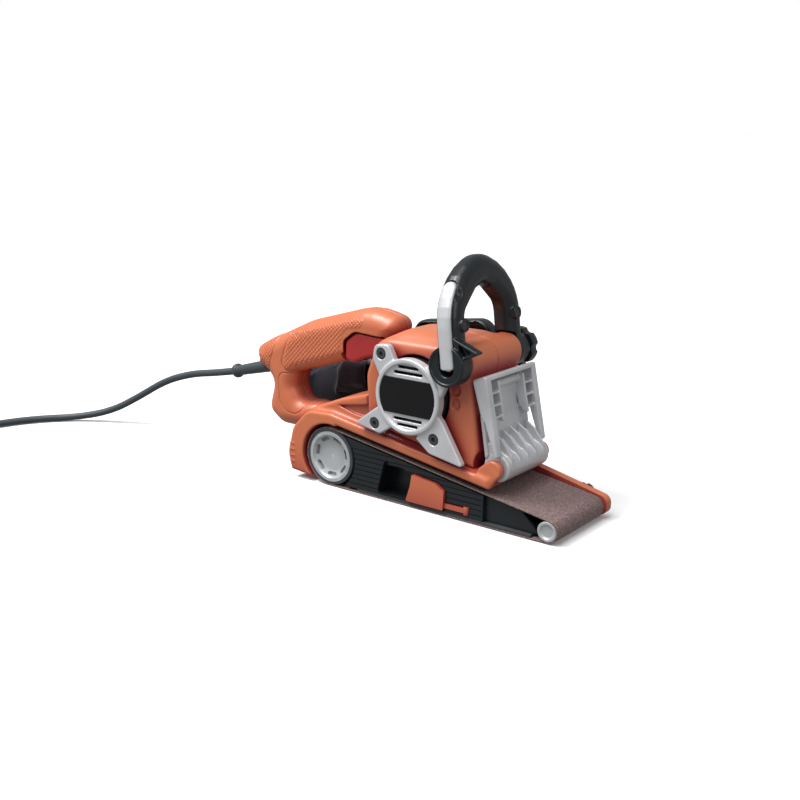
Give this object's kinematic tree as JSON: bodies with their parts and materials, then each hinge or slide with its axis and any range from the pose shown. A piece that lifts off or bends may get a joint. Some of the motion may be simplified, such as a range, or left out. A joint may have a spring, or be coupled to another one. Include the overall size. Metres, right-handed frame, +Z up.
{
  "type": "handheld belt sander",
  "caption": "Handheld electric belt sander with a rear D-handle, tilting front handle, flip-up belt guard, dust bag and mains cord.",
  "frame": {"origin": "centre of the flat sanding face on the belt's underside, midway between the two axles", "axes": "+X towards the nose, +Y to the left of the machine, +Z up out of the work"},
  "size_m": [0.6211, 0.352, 0.2063],
  "materials": {
    "orange_plastic": "satin moulded nylon",
    "silver_plastic": "satin metallic grey",
    "black_plastic": "fine-textured black",
    "red_plastic": "satin red",
    "wheel_plastic": "light grey",
    "rubber": "matt",
    "abrasive": "grit on cloth",
    "graphite": "graphite",
    "steel": "turned",
    "lamination": "stacked sheets",
    "copper": "enamelled wire",
    "bag_cloth": "woven"
  },
  "bodies": {
    "housing": {"base_frame": "orange_plastic", "side_rail": "orange_plastic", "housing_right": "orange_plastic", "housing_left": "orange_plastic", "handle_right": "orange_plastic", "handle_left": "orange_plastic", "motor_cap": "silver_plastic", "cap_label": "black_plastic", "cap_screws": "steel", "chassis": "black_plastic", "platen": "steel", "platen_pad": "graphite", "side_plate": "black_plastic", "lever_pin": "steel", "sanding_belt": "abrasive", "guard_pin": "steel", "wheel_bearings": "steel", "stator_core": "lamination", "field_windings": "copper", "motor_bearings": "steel", "end_bracket": "black_plastic", "far_bracket": "black_plastic", "brush_holders": "black_plastic", "carbon_brushes": "graphite", "timing_belt": "rubber", "drive_cover": "black_plastic", "housing_screws": "steel", "dust_duct": "black_plastic", "switch_body": "black_plastic", "cord_sleeve": "rubber", "cord_clamp": "black_plastic", "cord_tube": "rubber", "cord_coil": "rubber", "plug_body": "rubber", "plug_pins": "steel", "tension_spring": "steel"},
    "armature": {"armature_core": "lamination", "armature_shaft": "steel", "commutator": "copper", "cooling_fan": "black_plastic", "motor_pulley": "steel"},
    "drive_wheel": {"drive_wheel": "wheel_plastic", "wheel_tyre": "rubber", "wheel_shaft": "steel", "driven_pulley": "black_plastic"},
    "yoke": {"yoke": "black_plastic", "roller_axle": "steel"},
    "roller": {"front_roller": "wheel_plastic"},
    "tension_lever": {"tension_lever": "orange_plastic"},
    "front_handle": {"front_handle": "black_plastic", "handle_inlay": "silver_plastic", "handle_screws": "steel", "handle_bolt": "steel"},
    "handle_knob": {"handle_knob": "black_plastic"},
    "belt_guard": {"belt_guard": "silver_plastic"},
    "trigger": {"trigger": "red_plastic"},
    "lock_button": {"lock_button": "black_plastic"},
    "tracking_knob": {"tracking_knob": "black_plastic"},
    "dust_bag": {"dust_bag": "bag_cloth", "bag_collar": "black_plastic"}
  },
  "joints": [
    {"name": "wheel_spin", "type": "hinge", "parent": "housing", "child": "drive_wheel", "pos_m": [-0.106, 0, 0.026], "axis": [0, 1, 0], "continuous": true},
    {"name": "armature_spin", "type": "hinge", "parent": "housing", "child": "armature", "pos_m": [-0.0178, 0, 0.0948], "axis": [0, 1, 0], "continuous": true},
    {"name": "yoke_slide", "type": "slide", "parent": "housing", "child": "yoke", "axis": [1, 0, 0], "range_m": [-0.008, 0], "stiffness_N_per_m": 800, "springref_m": 0.006, "deforming": ["tension_spring"]},
    {"name": "roller_spin", "type": "hinge", "parent": "yoke", "child": "roller", "pos_m": [0.106, 0, 0.0093], "axis": [0, 1, 0], "continuous": true},
    {"name": "lever_swing", "type": "hinge", "parent": "housing", "child": "tension_lever", "pos_m": [0.034, -0.0359, 0.009], "axis": [0, 0, 1], "range_deg": [0, 75]},
    {"name": "front_handle_tilt", "type": "hinge", "parent": "housing", "child": "front_handle", "pos_m": [0.0215, 0, 0.1255], "axis": [0, 1, 0], "range_deg": [-15, 60]},
    {"name": "knob_turn", "type": "hinge", "parent": "front_handle", "child": "handle_knob", "pos_m": [0.0215, 0.055, 0.1255], "axis": [0, 1, 0], "range_deg": [0, 360]},
    {"name": "guard_flip", "type": "hinge", "parent": "housing", "child": "belt_guard", "pos_m": [0.057, 0, 0.047], "axis": [0, 1, 0], "range_deg": [0, 112]},
    {"name": "trigger_squeeze", "type": "hinge", "parent": "housing", "child": "trigger", "pos_m": [-0.07, 0, 0.128], "axis": [0, 1, 0], "range_deg": [0, 8], "stiffness_Nm_per_rad": 2, "springref_deg": -2.86},
    {"name": "lock_press", "type": "slide", "parent": "housing", "child": "lock_button", "axis": [0, -1, 0], "range_m": [0, 0.003], "stiffness_N_per_m": 200, "springref_m": -0.001},
    {"name": "tracking_turn", "type": "hinge", "parent": "housing", "child": "tracking_knob", "pos_m": [0.091, 0.05, 0.0125], "axis": [0, 1, 0], "range_deg": [-180, 180]},
    {"name": "bag_pull", "type": "slide", "parent": "housing", "child": "dust_bag", "axis": [-1, 0, 0], "range_m": [0, 0.04]}
  ],
  "couplings": [
    {"joint": "armature_spin", "follows": "wheel_spin", "ratio": 4},
    {"joint": "roller_spin", "follows": "wheel_spin", "ratio": 2.8977},
    {"joint": "lever_swing", "follows": "yoke_slide", "rad_per_m": -163}
  ]
}
